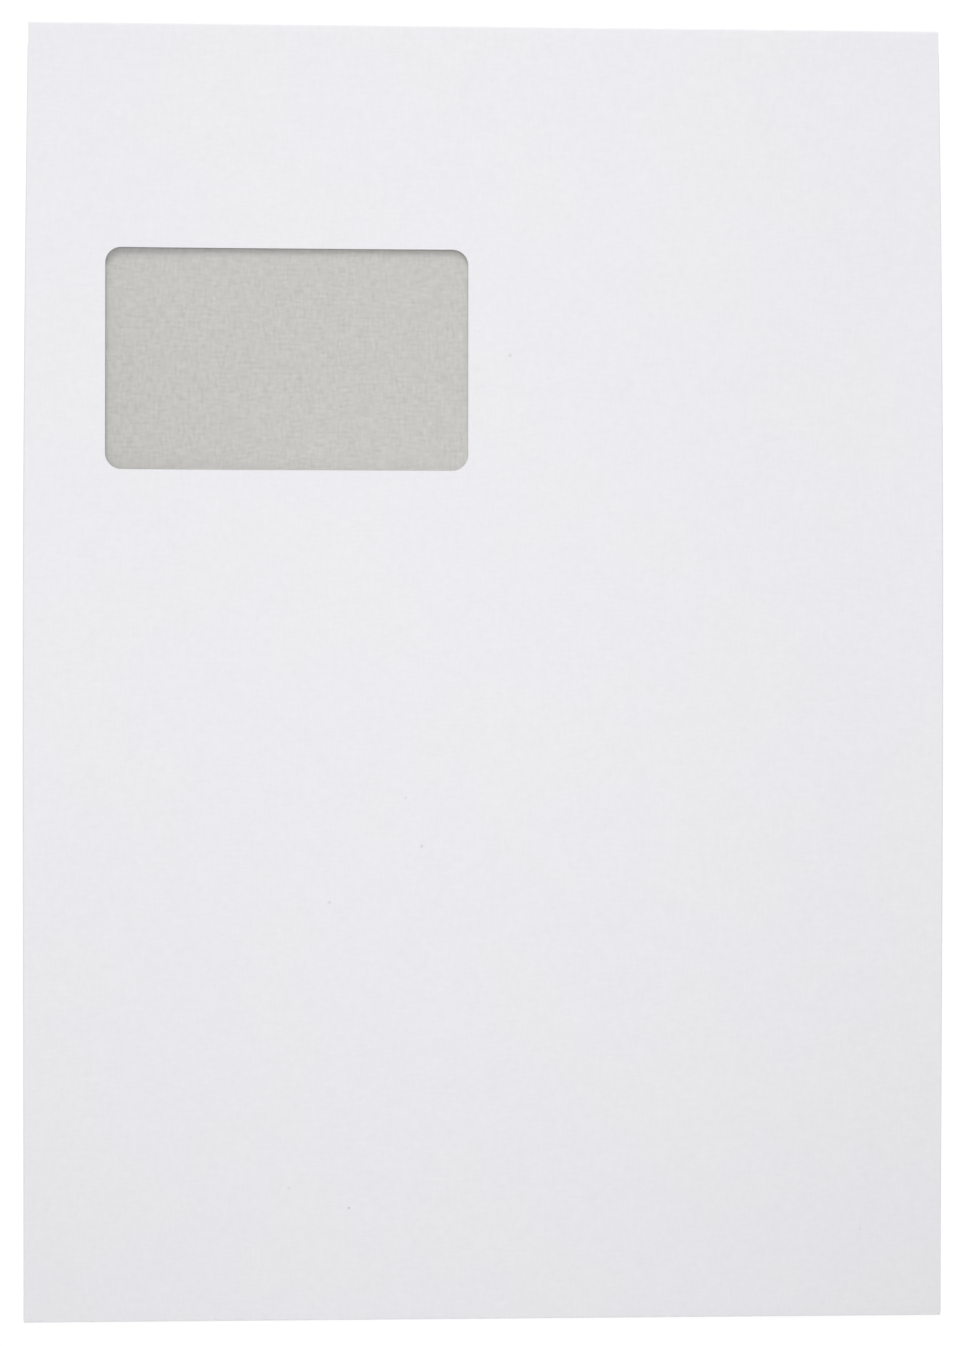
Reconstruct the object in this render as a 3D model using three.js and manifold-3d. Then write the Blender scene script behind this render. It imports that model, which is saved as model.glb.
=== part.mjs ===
// A gusseted window envelope, C4 size, lying on its back with its window side up.
// Millimetres. X runs across the envelope, Y up towards its closing flap, Z up from the table.
// The origin is in the middle of the footprint, on the table.

import * as THREE from "three";
import { mergeVertices } from "three/addons/utils/BufferGeometryUtils.js";
import Module from "manifold-3d";

const ENVELOPE_WIDTH = 229;
const ENVELOPE_HEIGHT = 324;
const PAPER = 0.2;
const PLY_GAP = 0.1;

// Side gussets: how far each one tucks in, and how far its folds spring open.
const GUSSET_DEPTH = 10;
const GUSSET_SPRING = 3;
const SPRING_SKEW = 0.78;
const SPRING_SOFTNESS = 1.25;
const FOLD_EASE = 0.2;
const CREASE_EASE = 0.1;

// Front panel: how low its middle comes to rest over the back, how steeply its sides rise to the folds,
// and how far the top fold arches it up.
const FRONT_REST = 0.65;
const SAG_POWER = 6;
const THROAT_ARCH = 0.5;
const THROAT_ARCH_LENGTH = 110;

// The back seam, and the cut edge of the back panels below the top fold.
const SEAM_LAP = 12;
const SEAM_RAMP = 1.5;
const THROAT_DEPTH = 6;

// Flaps. Each starts a little inside the side folds and narrows towards its free edge.
const FLAP_INSET = 0.4;
const BOTTOM_FLAP_LENGTH = 25;
const BOTTOM_FLAP_TAPER = 14;
const BOTTOM_FLAP_CORNER = 4;
const BOTTOM_FLAP_BOND = 0.05;
const CLOSING_FLAP_LENGTH = 50;
const CLOSING_FLAP_TAPER = 6;
const CLOSING_FLAP_CORNER = 12;

// Address window, and the film patch glued behind it.
const WINDOW_WIDTH = 90.5;
const WINDOW_HEIGHT = 55.4;
const WINDOW_CORNER = 4;
const WINDOW_FROM_LEFT = 19.5;
const WINDOW_FROM_TOP = 56.6;
const FILM = 0.05;
const FILM_MARGIN = 5;
const GLUE_LINE = 0.08;

// Peel-and-seal band on the inside of the closing flap.
const ADHESIVE = 0.08;
const ADHESIVE_WIDTH = 22;
const ADHESIVE_FROM_EDGE = 6;
const ADHESIVE_FROM_SIDE = 16;
const STRIP = 0.08;
const STRIP_OVERHANG = 2;
const STRIP_LIFT_EDGE = 2;
const STRIP_CLEARANCE = 0.14;

// Fineness of the facets.
const STATIONS = 24;
const FRONT_STEPS = 28;
const FILM_STEPS = 16;
const FOLD_STEPS = 6;
const CREASE_STEPS = 4;
const CORNER_STEPS = 8;

// Plies pressed flat lie one pitch apart: back, two gusset plies, front.
const PITCH = PAPER + PLY_GAP;
const PRESSED_RISE = 3 * PITCH;
const GUSSET_RUN = GUSSET_DEPTH - PAPER / 2 - PITCH;

// Height of the middle of the back panels: over the glued bottom flap, and over the closing flap.
const BOTTOM_BACK = 1.5 * PAPER;
const TOP_BACK = 1.5 * PAPER + ADHESIVE + STRIP + STRIP_CLEARANCE;

const HALF_WIDTH = ENVELOPE_WIDTH / 2;
const HALF_HEIGHT = ENVELOPE_HEIGHT / 2;
const TUBE_TOP = HALF_HEIGHT - THROAT_DEPTH;
const TUBE_BOTTOM = -HALF_HEIGHT + (BOTTOM_BACK + PRESSED_RISE + PAPER / 2) / 2;
const PRESSED_LIP = 1;

const wasm = await Module();
wasm.setup();

// How far the gussets have sprung open at a height on the envelope: 0 pressed flat, 1 fullest.
function openness(y) {
  const run = TUBE_TOP - TUBE_BOTTOM - 2 * PRESSED_LIP;
  const share = THREE.MathUtils.clamp((TUBE_TOP - PRESSED_LIP - y) / run, 0, 1);
  return Math.max(Math.sin(Math.PI * share ** SPRING_SKEW), 0) ** SPRING_SOFTNESS;
}

function stationPlaces() {
  const run = TUBE_TOP - TUBE_BOTTOM - 2 * PRESSED_LIP;
  const places = [TUBE_BOTTOM];
  for (let i = STATIONS; i >= 0; i -= 1) {
    places.push(TUBE_TOP - PRESSED_LIP - run * (i / STATIONS) ** (1 / SPRING_SKEW));
  }
  places.push(TUBE_TOP);
  return places;
}

function backHeight(y) {
  const glued = -HALF_HEIGHT + BOTTOM_FLAP_LENGTH;
  const free = HALF_HEIGHT - CLOSING_FLAP_LENGTH;
  return BOTTOM_BACK + (TOP_BACK - BOTTOM_BACK) * THREE.MathUtils.smoothstep(y, glued, free);
}

function sideFold(y) {
  const open = openness(y);
  const radius = PITCH / 2 + FOLD_EASE * open;
  return { open, radius, x: HALF_WIDTH - PAPER / 2 - radius, rise: PRESSED_RISE + GUSSET_SPRING * open };
}

// How far the top fold holds up the middle of the front panel, below the throat.
function throatArch(y) {
  const share = THREE.MathUtils.clamp((TUBE_TOP - PRESSED_LIP - y) / THROAT_ARCH_LENGTH, 0, 1);
  return THROAT_ARCH * Math.sin(Math.PI * share) ** 2;
}

// The front panel hangs between its two raised side folds and nearly lies on the back panels.
function frontHeight(x, y) {
  const fold = sideFold(y);
  const drop = (GUSSET_SPRING + PRESSED_RISE - FRONT_REST) * fold.open - throatArch(y);
  const hang = 1 - Math.min(Math.abs(x) / fold.x, 1) ** SAG_POWER;
  return backHeight(y) + fold.rise - drop * hang;
}

function arc(centreX, centreZ, radius, from, to, steps) {
  const points = [];
  for (let i = 0; i <= steps; i += 1) {
    const angle = from + ((to - from) * i) / steps;
    points.push(new THREE.Vector2(centreX + radius * Math.cos(angle), centreZ + radius * Math.sin(angle)));
  }
  return points;
}

// The right-hand gusset as a loop at some offset outwards from the middle of the paper:
// back fold, lower half, inner crease, upper half, front fold.
function gusset(y, offset) {
  const fold = sideFold(y);
  const creaseRadius = PITCH / 2 + CREASE_EASE * fold.open;
  const radii = fold.radius + creaseRadius;
  const lean =
    Math.atan2(GUSSET_RUN, radii) - Math.acos((fold.rise / 2 - fold.radius) / Math.hypot(GUSSET_RUN, radii));
  const quarter = Math.PI / 2;
  const back = backHeight(y);
  const creaseX = fold.x + radii * Math.sin(lean) - GUSSET_RUN * Math.cos(lean);
  return [
    ...arc(fold.x, back + fold.radius, fold.radius + offset, -quarter, quarter - lean, FOLD_STEPS),
    ...arc(
      creaseX,
      back + fold.rise / 2,
      creaseRadius - offset,
      3 * quarter - lean,
      quarter + lean,
      CREASE_STEPS,
    ),
    ...arc(
      fold.x,
      back + fold.rise - fold.radius,
      fold.radius + offset,
      lean - quarter,
      quarter,
      FOLD_STEPS,
    ),
  ];
}

// The glued back seam: the left panel runs straight on outside, and the right one laps over it inside.
function seam(y, offset) {
  const half = SEAM_LAP / 2;
  const back = backHeight(y);
  const free = offset > 0 ? half : -half;
  const points = [
    new THREE.Vector2(free, back - offset),
    new THREE.Vector2(free, back - offset + PAPER),
    new THREE.Vector2(half, back - offset + PAPER),
    new THREE.Vector2(half + SEAM_RAMP, back - offset),
  ];
  return points.filter((point, i) => i === 0 || point.distanceTo(points[i - 1]) > PAPER / 2);
}

// One closed loop of the tube's section, run anticlockwise from the seam.
function sectionLoop(y, offset) {
  const right = gusset(y, offset);
  const left = right.map((point) => new THREE.Vector2(-point.x, point.y)).reverse();
  const fold = sideFold(y);
  const front = [];
  for (let i = 1; i < FRONT_STEPS; i += 1) {
    const x = fold.x * Math.cos((Math.PI * i) / FRONT_STEPS);
    front.push(new THREE.Vector2(x, frontHeight(x, y) + offset));
  }
  return [...seam(y, offset), ...right, ...front, ...left];
}

function solid(positions, triangles) {
  return new wasm.Manifold(
    new wasm.Mesh({
      numProp: 3,
      vertProperties: new Float32Array(positions),
      triVerts: new Uint32Array(triangles),
    }),
  );
}

function solidFromGeometry(geometry) {
  geometry.deleteAttribute("normal");
  geometry.deleteAttribute("uv");
  const merged = mergeVertices(geometry, 1e-5);
  return solid(merged.attributes.position.array, merged.index.array);
}

function geometryFromSolid(manifold) {
  const mesh = manifold.getMesh();
  const geometry = new THREE.BufferGeometry();
  geometry.setAttribute("position", new THREE.BufferAttribute(mesh.vertProperties, 3));
  geometry.setIndex(new THREE.BufferAttribute(mesh.triVerts, 1));
  return geometry;
}

// The tube of the envelope: front panel, both gussets and the two lapped back panels, lofted along Y.
function paperTube() {
  const places = stationPlaces();
  const positions = [];
  const triangles = [];
  const outside = sectionLoop(places[0], PAPER / 2).length;
  const inside = sectionLoop(places[0], -PAPER / 2).length;
  const stride = outside + inside;

  for (const y of places) {
    for (const point of [...sectionLoop(y, PAPER / 2), ...sectionLoop(y, -PAPER / 2)]) {
      positions.push(point.x, y, point.y);
    }
  }

  function skin(first, count, flip) {
    for (let row = 0; row < places.length - 1; row += 1) {
      for (let i = 0; i < count; i += 1) {
        const a = row * stride + first + i;
        const b = row * stride + first + ((i + 1) % count);
        const quad = flip ? [a, b, a + stride, b + stride] : [b, a, b + stride, a + stride];
        triangles.push(quad[0], quad[1], quad[3], quad[0], quad[3], quad[2]);
      }
    }
  }

  // Cut edges of the paper at an end of the tube.
  function cap(row, flip) {
    const loops = [sectionLoop(places[row], PAPER / 2), sectionLoop(places[row], -PAPER / 2)];
    const flat = loops.flat();
    for (const [a, b, c] of THREE.ShapeUtils.triangulateShape(loops[0], [loops[1]])) {
      const turn = flat[b].clone().sub(flat[a]).cross(flat[c].clone().sub(flat[a]));
      const corners = turn > 0 === flip ? [a, c, b] : [a, b, c];
      triangles.push(...corners.map((corner) => row * stride + corner));
    }
  }

  skin(0, outside, false);
  skin(outside, inside, true);
  cap(0, false);
  cap(places.length - 1, true);
  return solid(positions, triangles);
}

// The front panel's run past the tube, the fold at the end of it, and the flap folded under.
// It is made at the +Y end.
function foldedFlap({ frontMiddle, panelStart, length, taper, corner, thickness }) {
  const outer = (frontMiddle + PAPER / 2) / 2;
  const inner = outer - PAPER;
  const centreY = HALF_HEIGHT - outer;
  const halfWidth = HALF_WIDTH - FLAP_INSET;
  const quarter = Math.PI / 2;

  const profile = new THREE.Shape();
  profile.moveTo(panelStart, outer * 2 - PAPER);
  profile.lineTo(centreY, outer * 2 - PAPER);
  profile.absarc(centreY, outer, inner, quarter, -quarter, true);
  profile.lineTo(centreY - PRESSED_LIP, PAPER);
  profile.lineTo(centreY - PRESSED_LIP, 0);
  profile.lineTo(centreY, 0);
  profile.absarc(centreY, outer, outer, -quarter, quarter, false);
  profile.lineTo(panelStart, outer * 2);
  profile.closePath();
  const bend = new THREE.ExtrudeGeometry(profile, {
    depth: 2 * halfWidth,
    bevelEnabled: false,
    curveSegments: CORNER_STEPS,
  });
  const across = new THREE.Matrix4().makeBasis(
    new THREE.Vector3(0, 1, 0),
    new THREE.Vector3(0, 0, 1),
    new THREE.Vector3(1, 0, 0),
  );
  bend.applyMatrix4(across).translate(-halfWidth, 0, 0);

  const freeY = HALF_HEIGHT - length;
  const freeHalf = halfWidth - taper;
  const side = new THREE.Vector2(halfWidth - freeHalf, centreY - freeY).normalize().multiplyScalar(corner);
  const outline = new THREE.Shape();
  outline.moveTo(halfWidth, centreY);
  outline.lineTo(-halfWidth, centreY);
  outline.lineTo(-freeHalf - side.x, freeY + side.y);
  outline.quadraticCurveTo(-freeHalf, freeY, -freeHalf + corner, freeY);
  outline.lineTo(freeHalf - corner, freeY);
  outline.quadraticCurveTo(freeHalf, freeY, freeHalf + side.x, freeY + side.y);
  outline.closePath();
  const flap = new THREE.ExtrudeGeometry(outline, {
    depth: thickness,
    bevelEnabled: false,
    curveSegments: CORNER_STEPS,
  });
  return solidFromGeometry(bend).add(solidFromGeometry(flap));
}

const windowCentre = new THREE.Vector2(
  -HALF_WIDTH + WINDOW_FROM_LEFT + WINDOW_WIDTH / 2,
  HALF_HEIGHT - WINDOW_FROM_TOP - WINDOW_HEIGHT / 2,
);

// A block through the front panel alone, with the window's rounded outline.
function windowCutter() {
  const right = WINDOW_WIDTH / 2;
  const top = WINDOW_HEIGHT / 2;
  const quarter = Math.PI / 2;
  const outline = new THREE.Shape();
  outline.absarc(right - WINDOW_CORNER, top - WINDOW_CORNER, WINDOW_CORNER, 0, quarter, false);
  outline.absarc(-right + WINDOW_CORNER, top - WINDOW_CORNER, WINDOW_CORNER, quarter, 2 * quarter, false);
  outline.absarc(-right + WINDOW_CORNER, -top + WINDOW_CORNER, WINDOW_CORNER, 2 * quarter, 3 * quarter, false);
  outline.absarc(right - WINDOW_CORNER, -top + WINDOW_CORNER, WINDOW_CORNER, 3 * quarter, 4 * quarter, false);
  outline.closePath();
  const block = new THREE.ExtrudeGeometry(outline, {
    depth: PRESSED_RISE + GUSSET_SPRING,
    bevelEnabled: false,
    curveSegments: CORNER_STEPS,
  });
  return solidFromGeometry(block.translate(windowCentre.x, windowCentre.y, TOP_BACK + PRESSED_RISE / 2));
}

// The whole blank, folded and glued: one sheet of paper.
function envelopeSheet() {
  const closing = foldedFlap({
    frontMiddle: TOP_BACK + PRESSED_RISE,
    panelStart: TUBE_TOP - PRESSED_LIP,
    length: CLOSING_FLAP_LENGTH,
    taper: CLOSING_FLAP_TAPER,
    corner: CLOSING_FLAP_CORNER,
    thickness: PAPER,
  });
  const bottom = foldedFlap({
    frontMiddle: BOTTOM_BACK + PRESSED_RISE,
    panelStart: -TUBE_BOTTOM - PRESSED_LIP,
    length: BOTTOM_FLAP_LENGTH,
    taper: BOTTOM_FLAP_TAPER,
    corner: BOTTOM_FLAP_CORNER,
    thickness: PAPER + BOTTOM_FLAP_BOND,
  }).rotate([0, 0, 180]);
  return geometryFromSolid(paperTube().add(closing).add(bottom).subtract(windowCutter()));
}

// Film patch, laid along the inner face of the front panel.
function windowFilm() {
  const width = WINDOW_WIDTH + 2 * FILM_MARGIN;
  const height = WINDOW_HEIGHT + 2 * FILM_MARGIN;
  const film = new THREE.BoxGeometry(width, height, FILM, FILM_STEPS, FILM_STEPS / 2, 1);
  film.translate(windowCentre.x, windowCentre.y, -PAPER / 2 - GLUE_LINE - FILM / 2);
  const place = film.attributes.position;
  for (let i = 0; i < place.count; i += 1) {
    place.setZ(i, place.getZ(i) + frontHeight(place.getX(i), place.getY(i)));
  }
  return film;
}

const adhesiveLength = ENVELOPE_WIDTH - 2 * ADHESIVE_FROM_SIDE;
const adhesiveStart = HALF_HEIGHT - CLOSING_FLAP_LENGTH + ADHESIVE_FROM_EDGE;

function flapAdhesive() {
  const band = new THREE.BoxGeometry(adhesiveLength, ADHESIVE_WIDTH, ADHESIVE);
  return band.translate(0, adhesiveStart + ADHESIVE_WIDTH / 2, PAPER + ADHESIVE / 2);
}

// The strip is wider than the band that it covers, most of all along the edge it is lifted by.
function releaseStrip() {
  const start = adhesiveStart - STRIP_OVERHANG - STRIP_LIFT_EDGE;
  const width = adhesiveStart + ADHESIVE_WIDTH + STRIP_OVERHANG - start;
  const strip = new THREE.BoxGeometry(adhesiveLength + 2 * STRIP_OVERHANG, width, STRIP);
  return strip.translate(0, start + width / 2, PAPER + ADHESIVE + STRIP / 2);
}

function namedMesh(name, geometry, color, roughness) {
  const mesh = new THREE.Mesh(geometry, new THREE.MeshStandardMaterial({ color, roughness, metalness: 0 }));
  mesh.name = name;
  return mesh;
}

const envelope = new THREE.Group();
envelope.add(
  namedMesh("envelope_sheet", envelopeSheet(), 0xefeef2, 0.9),
  namedMesh("window_film", windowFilm(), 0xd5d8d6, 0.15),
  namedMesh("flap_adhesive", flapAdhesive(), 0xe8e0bd, 0.4),
  namedMesh("release_strip", releaseStrip(), 0xf3f3ee, 0.45),
);

export default envelope;
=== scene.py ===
import math

import bmesh
import bpy
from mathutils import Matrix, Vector, noise


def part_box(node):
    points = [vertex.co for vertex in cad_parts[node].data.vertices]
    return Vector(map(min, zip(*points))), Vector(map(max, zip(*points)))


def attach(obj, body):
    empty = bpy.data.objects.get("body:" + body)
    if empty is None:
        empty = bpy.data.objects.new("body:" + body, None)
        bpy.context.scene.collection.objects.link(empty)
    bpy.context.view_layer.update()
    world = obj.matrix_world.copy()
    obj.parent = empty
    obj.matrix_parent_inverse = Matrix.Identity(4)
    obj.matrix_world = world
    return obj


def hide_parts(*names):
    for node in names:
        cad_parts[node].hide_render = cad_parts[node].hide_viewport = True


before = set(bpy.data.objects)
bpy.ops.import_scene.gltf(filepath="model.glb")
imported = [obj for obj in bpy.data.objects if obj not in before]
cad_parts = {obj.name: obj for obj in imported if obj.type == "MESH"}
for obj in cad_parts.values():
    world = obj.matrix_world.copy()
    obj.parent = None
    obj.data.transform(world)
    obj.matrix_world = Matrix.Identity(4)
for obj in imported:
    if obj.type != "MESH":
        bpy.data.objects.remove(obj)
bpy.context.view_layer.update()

# The paper sheet: one blank of 0.2 mm white paper, die-cut, scored and folded. It has the window, a lapped
# and glued back seam, two tucked side gussets, a glued bottom flap and an unsealed closing flap.
# It is cut here as a flat blank and then folded, as the real one is.
mm = 0.001
sheet_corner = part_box("envelope_sheet")[1]
half_width = sheet_corner.x
half_height = sheet_corner.y
paper = 0.2 * mm
pitch = 0.3 * mm
pressed_lip = 1 * mm
throat_depth = 6 * mm
gusset_depth = 10 * mm
gusset_run = gusset_depth - paper / 2 - pitch
gusset_spring = 3 * mm
spring_skew = 0.78
spring_softness = 1.25
fold_ease = 0.2 * mm
crease_ease = 0.1 * mm
front_rest = 0.65 * mm
sag_power = 6
throat_arch = 0.5 * mm
throat_arch_length = 110 * mm
seam_lap = 12 * mm
seam_ramp = 1.5 * mm
seam_glue = 0.01 * mm
bottom_flap = 25 * mm
bottom_taper = 14 * mm
bottom_corner = 4 * mm
closing_flap = 50 * mm
closing_taper = 6 * mm
closing_corner = 12 * mm
flap_inset = 0.15 * mm
window_width = 90.5 * mm
window_height = 55.4 * mm
window_corner = 4 * mm
window_from_left = 19.5 * mm
window_from_top = 56.6 * mm
window_centre = Vector(
    (-half_width + window_from_left + window_width / 2, half_height - window_from_top - window_height / 2)
)
bottom_back = 1.5 * paper
top_back = 0.6 * mm
pressed_rise = 3 * pitch
top_bend = (top_back + pressed_rise + paper / 2) / 2
bottom_bend = (bottom_back + pressed_rise + paper / 2) / 2
tube_top = half_height - throat_depth
tube_bottom = -half_height + bottom_bend
top_score = half_height - top_bend
wave_depth = 0.12 * mm
wave_width = 55 * mm
wave_length = 85 * mm
wave_pattern = 3.7
calm_beside_folds = 25 * mm
calm_at_ends = 30 * mm

# Places across the blank, from the middle of the front outwards to the glued edge.
front_half = half_width - paper / 2 - pitch / 2
fold_run = 0.8 * mm
crease_run = 0.6 * mm
bend_run = 2.4 * mm
marks = [front_half]
for run in (fold_run, gusset_run, crease_run, gusset_run, fold_run):
    marks.append(marks[-1] + run)
glued_edge = marks[-1] + front_half

# How finely the blank is divided, over its panels and across its folds.
front_columns = 44
back_step = 3.2 * mm
row_step = 2.6 * mm
fold_steps = 8
ply_steps = 4
crease_steps = 6
bend_steps = 10


def openness(y):
    """How far the gussets have sprung open: 0 where they are pressed shut, 1 where they are widest."""
    share = (tube_top - pressed_lip - y) / (tube_top - tube_bottom - 2 * pressed_lip)
    return max(math.sin(math.pi * min(max(share, 0), 1) ** spring_skew), 0) ** spring_softness


def back_height(y):
    """The back panels lie on the flaps folded behind them, a little higher over the closing flap."""
    low = -half_height + bottom_flap
    share = min(max((y - low) / (half_height - closing_flap - low), 0), 1)
    return bottom_back + (top_back - bottom_back) * share * share * (3 - 2 * share)


def fold_radius(y):
    """The side folds ease a little where the gussets spring open."""
    return pitch / 2 + fold_ease * openness(y)


def fold_centre(y):
    """How far from the middle of the envelope the centre of a side fold lies."""
    return half_width - paper / 2 - fold_radius(y)


def fold_rise(y):
    """The rise from the back panel to the front panel at the side folds."""
    return pressed_rise + gusset_spring * openness(y)


def cockle(x, y):
    """Slow waves that damp air leaves in a large sheet. They die out at the folds."""
    calm = min(1, (half_width - abs(x)) / calm_beside_folds) * min(1, (half_height - abs(y)) / calm_at_ends)
    wave = noise.noise(Vector((x / wave_width, y / wave_length, wave_pattern)))
    return wave_depth * max(calm, 0) * wave


def front_height(x, y):
    """The front panel sinks between its side folds, and arches a little below the throat."""
    share = min(max((tube_top - pressed_lip - y) / throat_arch_length, 0), 1)
    arch = throat_arch * math.sin(math.pi * share) ** 2
    drop = (gusset_spring + pressed_rise - front_rest) * openness(y) - arch
    hang = 1 - min(abs(x) / fold_centre(y), 1) ** sag_power
    return back_height(y) + fold_rise(y) - drop * hang + cockle(x, y)


def back_panel(across, y, side):
    """A place on a back panel. The right panel steps up over the left one where they are glued."""
    x = fold_centre(y) - across
    lap = seam_lap / 2
    height = back_height(y)
    if side > 0:
        share = min(max((lap + seam_ramp - x) / seam_ramp, 0), 1)
        height += (paper + seam_glue) * share
    return side * x, height


def fold_point(across, y):
    """A place on the tube's section: front, front fold, gusset, crease, gusset, back fold, back panel."""
    side = 1 if across >= 0 else -1
    run = abs(across)
    radius = fold_radius(y)
    fold_x = fold_centre(y)
    rise = fold_rise(y)
    crease = pitch / 2 + crease_ease * openness(y)
    radii = radius + crease
    lean = math.atan2(gusset_run, radii) - math.acos((rise / 2 - radius) / math.hypot(gusset_run, radii))
    crease_x = fold_x + radii * math.sin(lean) - gusset_run * math.cos(lean)
    quarter = math.pi / 2
    back = back_height(y)
    if run <= marks[0]:
        x = fold_x * run / marks[0]
        return side * x, front_height(side * x, y)
    if run <= marks[1]:
        angle = quarter - (run - marks[0]) / fold_run * (2 * quarter - lean)
        return side * (fold_x + radius * math.cos(angle)), back + rise - radius + radius * math.sin(angle)
    if run <= marks[2]:
        share = (run - marks[1]) / gusset_run
        start = fold_x + radius * math.sin(lean)
        drop = radius + radius * math.cos(lean) + share * gusset_run * math.sin(lean)
        return side * (start - share * gusset_run * math.cos(lean)), back + rise - drop
    if run <= marks[3]:
        angle = quarter + lean + (run - marks[2]) / crease_run * (2 * quarter - 2 * lean)
        return side * (crease_x + crease * math.cos(angle)), back + rise / 2 + crease * math.sin(angle)
    if run <= marks[4]:
        share = 1 - (run - marks[3]) / gusset_run
        start = fold_x + radius * math.sin(lean)
        lift = radius + radius * math.cos(lean) + share * gusset_run * math.sin(lean)
        return side * (start - share * gusset_run * math.cos(lean)), back + lift
    if run <= marks[5]:
        angle = quarter - lean - (run - marks[4]) / fold_run * (2 * quarter - lean)
        return side * (fold_x + radius * math.cos(angle)), back + radius + radius * math.sin(angle)
    return back_panel(run - marks[5], y, side)


def fold_flap(run, bend):
    """How far past the start of a bend, and at what height, a place on a flap ends up."""
    radius = bend - paper / 2
    if run <= bend_run:
        angle = math.pi / 2 - run / bend_run * math.pi
        return radius * math.cos(angle), bend + radius * math.sin(angle)
    return bend_run - run, paper / 2


def fold(place):
    """Where a place on the flat blank, seen from its outer side, ends up on the folded envelope."""
    across, y = place.x, place.y
    if y > top_score:
        reach, height = fold_flap(y - top_score, top_bend)
        return Vector((across, top_score + reach, height))
    if y < tube_bottom:
        reach, height = fold_flap(tube_bottom - y, bottom_bend)
        return Vector((across, tube_bottom - reach, height))
    x, z = fold_point(across, y)
    return Vector((x, y, z))


def rounded_outline(half_x, near_y, far_y, far_half_x, corner, steps=8):
    """A flap's outline: straight at its fold, rounded at its free edge."""
    direction = 1 if far_y > near_y else -1
    slope = Vector((half_x - far_half_x, direction * (near_y - far_y))).normalized()
    points = [Vector((half_x, near_y))]
    for i in range(steps + 1):
        t = i / steps
        tip = Vector((far_half_x, far_y))
        start = tip + Vector((slope.x, direction * slope.y)) * corner
        end = tip - Vector((corner, 0))
        points.append((1 - t) ** 2 * start + 2 * t * (1 - t) * tip + t * t * end)
    mirrored = [Vector((-p.x, p.y)) for p in reversed(points)]
    return points + mirrored


def window_outline(steps=8):
    """A rectangle with round corners."""
    points = []
    for quadrant, (sx, sy) in enumerate(((1, 1), (-1, 1), (-1, -1), (1, -1))):
        hub = window_centre + Vector(
            (sx * (window_width / 2 - window_corner), sy * (window_height / 2 - window_corner))
        )
        for i in range(steps + 1):
            angle = math.pi / 2 * (quadrant + i / steps)
            points.append(hub + window_corner * Vector((math.cos(angle), math.sin(angle))))
    return points


def die_cut(blank, outline, keep_inside, region):
    """Cuts a convex outline into the blank, and drops what lies inside or outside it within a region."""
    margin = 3 * mm
    snap = 0.0001 * mm
    centre = sum(outline, Vector((0, 0))) / len(outline)
    sides = []
    for a, b in zip(outline, outline[1:] + outline[:1]):
        normal = Vector((b.y - a.y, a.x - b.x)).normalized()
        if normal.dot(centre - a) > 0:
            normal = -normal
        sides.append((a, normal))
        low = Vector((min(a.x, b.x) - margin, min(a.y, b.y) - margin))
        high = Vector((max(a.x, b.x) + margin, max(a.y, b.y) + margin))
        near = []
        for face in blank.faces:
            middle = face.calc_center_median()
            if low.x <= middle.x <= high.x and low.y <= middle.y <= high.y and region(middle):
                near.append(face)
        parts = set(near)
        for face in near:
            parts.update(face.edges)
            parts.update(face.verts)
        bmesh.ops.bisect_plane(
            blank, geom=list(parts), plane_co=(a.x, a.y, 0), plane_no=(normal.x, normal.y, 0), dist=snap
        )
    dropped = []
    for face in blank.faces:
        middle = face.calc_center_median()
        if region(middle):
            inside = all(normal.dot(middle.xy - a) <= 0 for a, normal in sides)
            if inside != keep_inside:
                dropped.append(face)
    bmesh.ops.delete(blank, geom=dropped, context="FACES")


def even_steps(start, end, step):
    """Evenly spaced places from the start up to the end, without the end itself."""
    count = max(1, round(abs(end - start) / step))
    return [start + (end - start) * i / count for i in range(count)]


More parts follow.
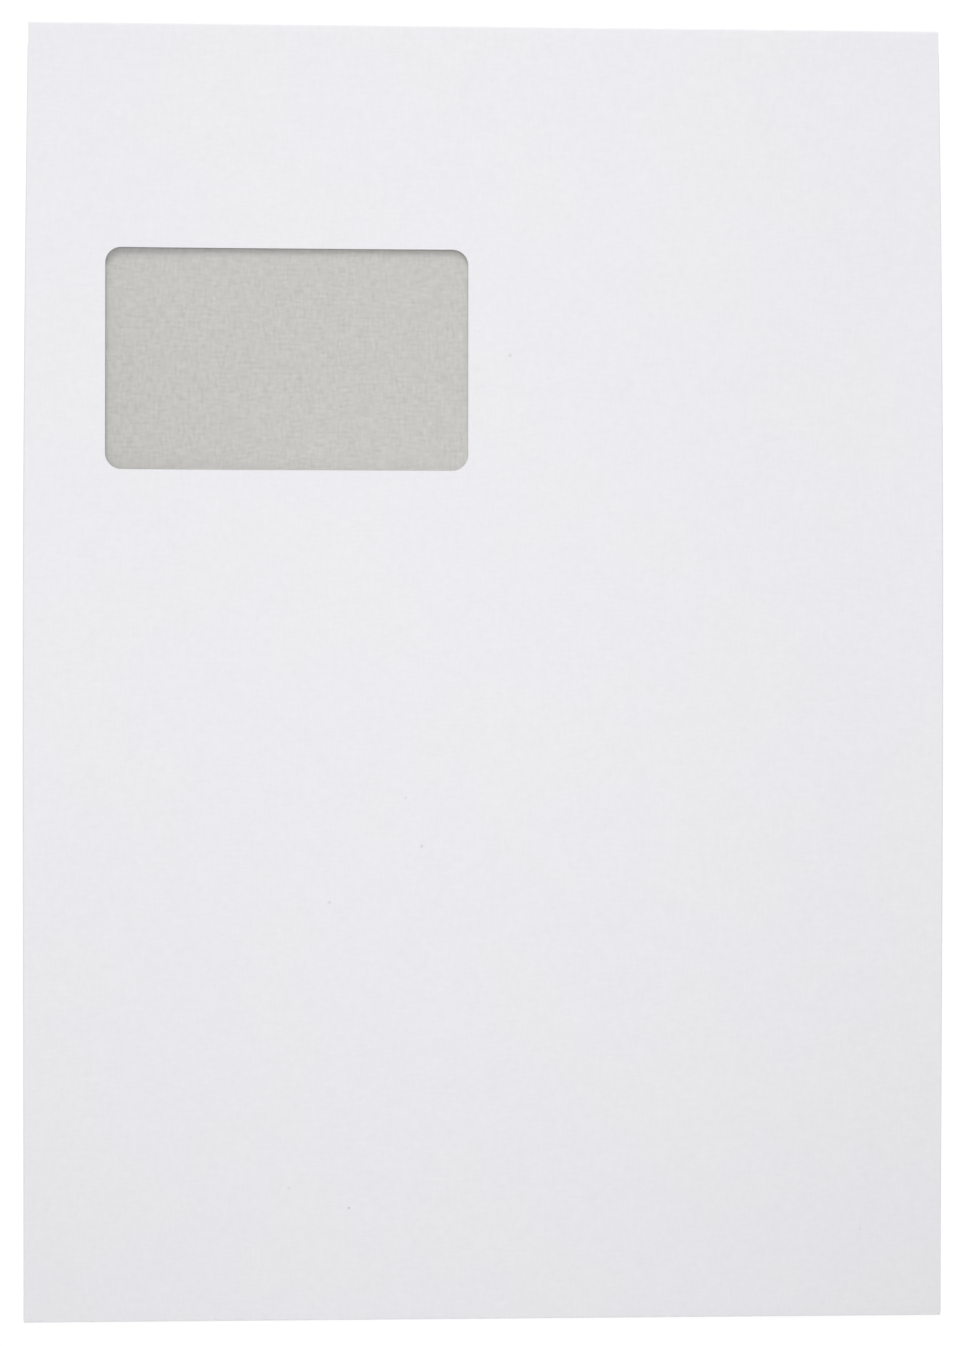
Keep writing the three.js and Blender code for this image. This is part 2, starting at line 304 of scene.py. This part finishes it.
def cut_blank():
    """The flat blank, outer side up: rows of faces, scored finely along its folds, then die-cut."""
    half_row = [marks[0] * math.sin(math.pi / 2 * i / front_columns) for i in range(front_columns)]
    half_row += even_steps(marks[0], marks[1], fold_run / fold_steps)
    half_row += even_steps(marks[1], marks[2], gusset_run / ply_steps)
    half_row += even_steps(marks[2], marks[3], crease_run / crease_steps)
    half_row += even_steps(marks[3], marks[4], gusset_run / ply_steps)
    half_row += even_steps(marks[4], marks[5], fold_run / fold_steps)
    lap = seam_lap / 2
    half_row += even_steps(marks[5], glued_edge - lap - seam_ramp, back_step)
    half_row += [glued_edge - lap - seam_ramp, glued_edge - lap, glued_edge, glued_edge + lap]
    row = [-place for place in reversed(half_row[1:])] + half_row

    bottom_start = tube_bottom - bend_run
    bottom_end = bottom_start - bottom_flap + bottom_bend
    closing_start = top_score + bend_run
    closing_end = closing_start + closing_flap - top_bend
    column = even_steps(bottom_end, bottom_start, back_step)
    column += even_steps(bottom_start, tube_bottom, bend_run / bend_steps)
    column += even_steps(tube_bottom, tube_top, row_step)
    column += even_steps(tube_top, top_score, row_step)
    column += even_steps(top_score, closing_start, bend_run / bend_steps)
    column += even_steps(closing_start, closing_end, back_step)
    column.append(closing_end)

    blank = bmesh.new()
    verts = [blank.verts.new((place, column[0], 0)) for place in row]
    edges = [blank.edges.new(pair) for pair in zip(verts, verts[1:])]
    for low, high in zip(column, column[1:]):
        grown = bmesh.ops.extrude_edge_only(blank, edges=edges)["geom"]
        edges = [part for part in grown if isinstance(part, bmesh.types.BMEdge)]
        new_verts = [part for part in grown if isinstance(part, bmesh.types.BMVert)]
        bmesh.ops.translate(blank, verts=new_verts, vec=(0, high - low, 0))
    bmesh.ops.recalc_face_normals(blank, faces=blank.faces)
    if sum(face.normal.z for face in blank.faces) < 0:
        bmesh.ops.reverse_faces(blank, faces=blank.faces)

    flap_half = half_width - flap_inset
    closing_half = flap_half - closing_taper
    closing = rounded_outline(flap_half, closing_start, closing_end, closing_half, closing_corner)
    closing = [Vector((flap_half, tube_top)), *closing, Vector((-flap_half, tube_top))]
    bottom_half = flap_half - bottom_taper
    bottom = rounded_outline(flap_half, bottom_start, bottom_end, bottom_half, bottom_corner)
    bottom = [Vector((flap_half, tube_bottom)), *bottom, Vector((-flap_half, tube_bottom))]
    die_cut(blank, closing, True, lambda place: place.y > tube_top)
    die_cut(blank, bottom, True, lambda place: place.y < tube_bottom)
    die_cut(blank, window_outline(), False, lambda place: abs(place.x) < marks[0])
    loose = [vert for vert in blank.verts if not vert.link_faces]
    bmesh.ops.delete(blank, geom=loose, context="VERTS")
    return blank


def finished_object(name, shape, materials, thickness=0, crisp_angle=50):
    """Makes the object, gives a thin sheet its two sides and cut edges, and keeps those edges crisp."""
    mesh = bpy.data.meshes.new(name)
    shape.to_mesh(mesh)
    shape.free()
    for material in materials:
        mesh.materials.append(material)
    piece = bpy.data.objects.new(name, mesh)
    bpy.context.scene.collection.objects.link(piece)
    if thickness:
        wall = piece.modifiers.new("wall", "SOLIDIFY")
        wall.thickness = thickness
        wall.offset = 0
        wall.use_even_offset = True
        wall.material_offset = 1
        bpy.context.view_layer.update()
        walled = piece.evaluated_get(bpy.context.evaluated_depsgraph_get())
        settled = bpy.data.meshes.new_from_object(walled)
        piece.modifiers.clear()
        piece.data = settled
    piece.data.polygons.foreach_set("use_smooth", [True] * len(piece.data.polygons))
    piece.data.set_sharp_from_angle(angle=math.radians(crisp_angle))
    return piece


def paper_material(name, color, drift, fibre, cloud, roughness, bump_strength):
    """Paper: crossed fibres, a cloudy formation, a slow drift of tint, and a slight tooth."""
    # The scales are in waves a metre, and most of a pattern's values lie between its low and high.
    fibre_scale = 1500
    small_cloud_scale = 520
    large_cloud_scale = 120
    drift_scale = 24
    tooth_scale = 1600
    tooth_height = 0.02 * mm
    pattern_low = 0.3
    pattern_high = 0.7
    material = bpy.data.materials.new(name)
    material.use_nodes = True
    nodes = material.node_tree.nodes
    links = material.node_tree.links
    shader = nodes["Principled BSDF"]
    shader.inputs["Roughness"].default_value = roughness
    shader.inputs["Specular IOR Level"].default_value = 0.3
    place = nodes.new("ShaderNodeTexCoord").outputs["Object"]

    def clouds(scale, detail, stretch=(1, 1, 1)):
        stretched = nodes.new("ShaderNodeVectorMath")
        stretched.operation = "MULTIPLY"
        stretched.inputs[1].default_value = stretch
        links.new(place, stretched.inputs[0])
        texture = nodes.new("ShaderNodeTexNoise")
        texture.inputs["Scale"].default_value = scale
        texture.inputs["Detail"].default_value = detail
        links.new(stretched.outputs["Vector"], texture.inputs["Vector"])
        return texture.outputs["Fac"]

    def shade(scale, detail, stretch, depth):
        ramp = nodes.new("ShaderNodeMapRange")
        ramp.inputs["From Min"].default_value = pattern_low
        ramp.inputs["From Max"].default_value = pattern_high
        ramp.inputs["To Min"].default_value = 1 - depth
        ramp.inputs["To Max"].default_value = 1 + depth
        links.new(clouds(scale, detail, stretch), ramp.inputs["Value"])
        return ramp.outputs["Result"]

    tint = nodes.new("ShaderNodeMix")
    tint.data_type = "RGBA"
    tint.inputs["A"].default_value = (*color, 1)
    tint.inputs["B"].default_value = (*drift, 1)
    links.new(clouds(drift_scale, 2), tint.inputs["Factor"])
    base = tint.outputs["Result"]
    for layer in (
        (fibre_scale, 2, (1, 0.25, 1), fibre),
        (fibre_scale, 2, (0.25, 1, 1), fibre),
        (small_cloud_scale, 3, (1, 1, 1), cloud),
        (large_cloud_scale, 3, (1, 1, 1), cloud * 0.75),
    ):
        scaled = nodes.new("ShaderNodeVectorMath")
        scaled.operation = "SCALE"
        links.new(base, scaled.inputs[0])
        links.new(shade(*layer), scaled.inputs["Scale"])
        base = scaled.outputs["Vector"]
    links.new(base, shader.inputs["Base Color"])
    tooth = nodes.new("ShaderNodeBump")
    tooth.inputs["Strength"].default_value = bump_strength
    tooth.inputs["Distance"].default_value = tooth_height
    links.new(clouds(tooth_scale, 5), tooth.inputs["Height"])
    links.new(tooth.outputs["Normal"], shader.inputs["Normal"])
    return material


def add_flecks_and_painted_shade(material, flecks_and_shade):
    """Flecks in the paper and wide patches of painted shade: X, Y and radius in millimetres, and how dark
    or light.
    """
    nodes = material.node_tree.nodes
    links = material.node_tree.links
    shader = nodes["Principled BSDF"]
    base = shader.inputs["Base Color"].links[0].from_socket
    flat = nodes.new("ShaderNodeVectorMath")
    flat.operation = "MULTIPLY"
    flat.inputs[1].default_value = (1, 1, 0)
    links.new(nodes.new("ShaderNodeTexCoord").outputs["Object"], flat.inputs[0])
    for x, y, radius, level in flecks_and_shade:
        reach = nodes.new("ShaderNodeVectorMath")
        reach.operation = "DISTANCE"
        reach.inputs[1].default_value = (x * mm, y * mm, 0)
        links.new(flat.outputs["Vector"], reach.inputs[0])
        spot = nodes.new("ShaderNodeMapRange")
        spot.inputs["From Max"].default_value = radius * mm
        spot.inputs["To Min"].default_value = level
        spot.inputs["To Max"].default_value = 1
        links.new(reach.outputs["Value"], spot.inputs["Value"])
        marked = nodes.new("ShaderNodeVectorMath")
        marked.operation = "SCALE"
        links.new(base, marked.inputs[0])
        links.new(spot.outputs["Result"], marked.inputs["Scale"])
        base = marked.outputs["Vector"]
    links.new(base, shader.inputs["Base Color"])


blank = cut_blank()
for vert in blank.verts:
    vert.co = fold(vert.co)
outer_paper = paper_material(
    "outer_paper",
    color=(0.86, 0.85, 0.9),
    drift=(0.861, 0.861, 0.869),
    fibre=0.01,
    cloud=0.0066,
    roughness=0.85,
    bump_strength=0.25,
)
dark_flecks = (
    (-34, -134, 0.42, 0.6),
    (-16, -44, 0.6, 0.77),
    (6, 79, 0.55, 0.78),
    (-39, -58, 0.6, 0.82),
    (-49, -129, 0.55, 0.86),
    (-20, -32, 0.4, 0.78),
    (94, -140, 0.5, 0.87),
)
add_flecks_and_painted_shade(outer_paper, dark_flecks)
inner_paper = paper_material(
    "inner_paper",
    color=(0.586, 0.577, 0.544),
    drift=(0.56, 0.546, 0.517),
    fibre=0.072,
    cloud=0.014,
    roughness=0.88,
    bump_strength=0.25,
)
light_flecks = ((-68, 93, 0.5, 1.25), (-14, 62, 0.4, 1.15))
# Painted shade: a wide soft darkening of the inner face towards the window's left edge, where the raised
# front panel shades it.
painted_left_shade = (-95, 60, 60, 0.965)
add_flecks_and_painted_shade(inner_paper, (*light_flecks, painted_left_shade))
sheet = finished_object("folded_sheet", blank, (outer_paper, inner_paper), paper)
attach(sheet, "root")
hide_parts("envelope_sheet")

# The window film: a plain rectangle of clear 0.05 mm film. It is glued to the inner face of the front panel
# by its margin round the window, and follows the panel's slight curve.
film = 0.05 * mm
glue_line = 0.08 * mm
ripple_depth = 0.03 * mm
ripple_length = 30 * mm
ripple_pattern = 8.1
film_low, film_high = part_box("window_film")
film_shape = bmesh.new()
bmesh.ops.create_grid(film_shape, x_segments=50, y_segments=32, size=0.5)
for vert in film_shape.verts:
    x = film_low.x + (vert.co.x + 0.5) * (film_high.x - film_low.x)
    y = film_low.y + (vert.co.y + 0.5) * (film_high.y - film_low.y)
    ripple = ripple_depth * noise.noise(Vector((x / ripple_length, y / ripple_length, ripple_pattern)))
    vert.co = (x, y, front_height(x, y) - paper / 2 - glue_line - film / 2 + min(ripple, 0))
clear_film = bpy.data.materials.new("clear_film")
clear_film.use_nodes = True
film_shader = clear_film.node_tree.nodes["Principled BSDF"]
film_shader.inputs["Base Color"].default_value = (0.9, 0.9, 0.9, 1)
film_shader.inputs["Roughness"].default_value = 0.12
film_shader.inputs["Alpha"].default_value = 0.12
window_pane = finished_object("window_pane", film_shape, (clear_film,), film)
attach(window_pane, "root")
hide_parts("window_film")

# The adhesive: a band of pale yellow hot melt rolled on to the inside of the closing flap.
# It stays tacky, so the CAD strip keeps its shape and gets a glossy, slightly uneven finish.
hot_melt = bpy.data.materials.new("hot_melt")
hot_melt.use_nodes = True
melt_nodes = hot_melt.node_tree.nodes
melt_links = hot_melt.node_tree.links
melt_shader = melt_nodes["Principled BSDF"]
melt_shader.inputs["Roughness"].default_value = 0.3
melt_place = melt_nodes.new("ShaderNodeTexCoord").outputs["Object"]
melt_lines = melt_nodes.new("ShaderNodeTexNoise")
melt_lines.inputs["Scale"].default_value = 400
melt_links.new(melt_place, melt_lines.inputs["Vector"])
melt_color = melt_nodes.new("ShaderNodeMix")
melt_color.data_type = "RGBA"
melt_color.inputs["A"].default_value = (0.74, 0.66, 0.42, 1)
melt_color.inputs["B"].default_value = (0.84, 0.78, 0.56, 1)
melt_links.new(melt_lines.outputs["Fac"], melt_color.inputs["Factor"])
melt_links.new(melt_color.outputs["Result"], melt_shader.inputs["Base Color"])
melt_ridges = melt_nodes.new("ShaderNodeBump")
melt_ridges.inputs["Strength"].default_value = 0.3
melt_ridges.inputs["Distance"].default_value = 0.03 * mm
melt_links.new(melt_lines.outputs["Fac"], melt_ridges.inputs["Height"])
melt_links.new(melt_ridges.outputs["Normal"], melt_shader.inputs["Normal"])
adhesive_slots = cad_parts["flap_adhesive"].data.materials
adhesive_slots.clear()
adhesive_slots.append(hot_melt)

# The release strip: smooth silicone-coated paper laid over the adhesive, a little wider than it,
# so that a finger can lift its edge.
silicone_paper = paper_material(
    "silicone_paper",
    color=(0.88, 0.88, 0.84),
    drift=(0.87, 0.87, 0.83),
    fibre=0.006,
    cloud=0.004,
    roughness=0.42,
    bump_strength=0.1,
)
strip_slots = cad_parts["release_strip"].data.materials
strip_slots.clear()
strip_slots.append(silicone_paper)

# The floor: a plain matt white board, a hair below the envelope. The camera sees it as nearly pure white,
# and it keeps a little of the envelope's soft shadow.
floor_reach = 4
floor_gap = 0.02 * mm
seen_brightness = 1.06
seen_share = 0.85
floor_finish = bpy.data.materials.new("floor_finish")
floor_finish.use_nodes = True
floor_nodes = floor_finish.node_tree.nodes
floor_links = floor_finish.node_tree.links
floor_shader = floor_nodes["Principled BSDF"]
floor_shader.inputs["Base Color"].default_value = (0.9, 0.9, 0.9, 1)
floor_shader.inputs["Roughness"].default_value = 0.9
white = floor_nodes.new("ShaderNodeEmission")
white.inputs["Strength"].default_value = seen_brightness
seen = floor_nodes.new("ShaderNodeLightPath")
white_share = floor_nodes.new("ShaderNodeMath")
white_share.operation = "MULTIPLY"
white_share.inputs[1].default_value = seen_share
floor_links.new(seen.outputs["Is Camera Ray"], white_share.inputs[0])
floor_mix = floor_nodes.new("ShaderNodeMixShader")
floor_links.new(white_share.outputs["Value"], floor_mix.inputs["Fac"])
floor_links.new(floor_shader.outputs["BSDF"], floor_mix.inputs[1])
floor_links.new(white.outputs["Emission"], floor_mix.inputs[2])
floor_links.new(floor_mix.outputs["Shader"], floor_nodes["Material Output"].inputs["Surface"])
floor_shape = bmesh.new()
bmesh.ops.create_grid(floor_shape, x_segments=2, y_segments=2, size=floor_reach)
bmesh.ops.translate(floor_shape, verts=floor_shape.verts, vec=(0, 0, -floor_gap))
floor = finished_object("floor", floor_shape, (floor_finish,))

# The studio light: a large soft lamp beyond the top edge, a low one beyond the bottom edge that reaches
# the lower fold, a small one just above the camera, and a pale room that fills the shadows.
room_fill = 0.263
for name, size, watts, place, aim in (
    ("soft_key", 1, 12.9, (0, 1.05, 0.95), (0, 0, 0)),
    ("low_fill", 0.6, 5, (0, -1.2, 0.25), (0, 0, 0)),
    ("overhead_fill", 0.3, 0.51, (-0.03, -0.045, 0.42), (-0.03, -0.045, 0)),
):
    lamp_data = bpy.data.lights.new(name, "AREA")
    lamp_data.shape = "DISK"
    lamp_data.size = size
    lamp_data.energy = watts
    lamp = bpy.data.objects.new(name, lamp_data)
    bpy.context.scene.collection.objects.link(lamp)
    lamp.location = place
    lamp.rotation_euler = (Vector(aim) - lamp.location).to_track_quat("-Z", "Y").to_euler()
room = bpy.data.worlds.new("room")
bpy.context.scene.world = room
room.use_nodes = True
room_nodes = room.node_tree.nodes
room_links = room.node_tree.links
backdrop = room_nodes["Background"]
backdrop.inputs["Color"].default_value = (1, 1, 1, 1)
rays = room_nodes.new("ShaderNodeLightPath")
direct = room_nodes.new("ShaderNodeMath")
direct.operation = "MAXIMUM"
room_links.new(rays.outputs["Is Camera Ray"], direct.inputs[0])
room_links.new(rays.outputs["Is Glossy Ray"], direct.inputs[1])
through = room_nodes.new("ShaderNodeMath")
through.operation = "MAXIMUM"
room_links.new(direct.outputs["Value"], through.inputs[0])
room_links.new(rays.outputs["Is Transmission Ray"], through.inputs[1])
level = room_nodes.new("ShaderNodeMapRange")
level.inputs["To Min"].default_value = room_fill
level.inputs["To Max"].default_value = 1
room_links.new(through.outputs["Value"], level.inputs["Value"])
room_links.new(level.outputs["Result"], backdrop.inputs["Strength"])

# The camera looks down on the front panel from about 40 cm above the floor, a degree and a half off
# square. The whole envelope is in view, with a narrow white margin round it.
camera_data = bpy.data.cameras.new("camera")
camera_data.lens = 43
camera_data.sensor_width = 36
camera_data.clip_start = 0.01
camera = bpy.data.objects.new("camera", camera_data)
bpy.context.scene.collection.objects.link(camera)
camera.location = (-11.14 * mm, -4.32 * mm, 403.75 * mm)
camera.rotation_euler = (math.radians(0.519), math.radians(-1.396), math.radians(0.055))
bpy.context.scene.camera = camera
bpy.context.scene.view_settings.view_transform = "Standard"
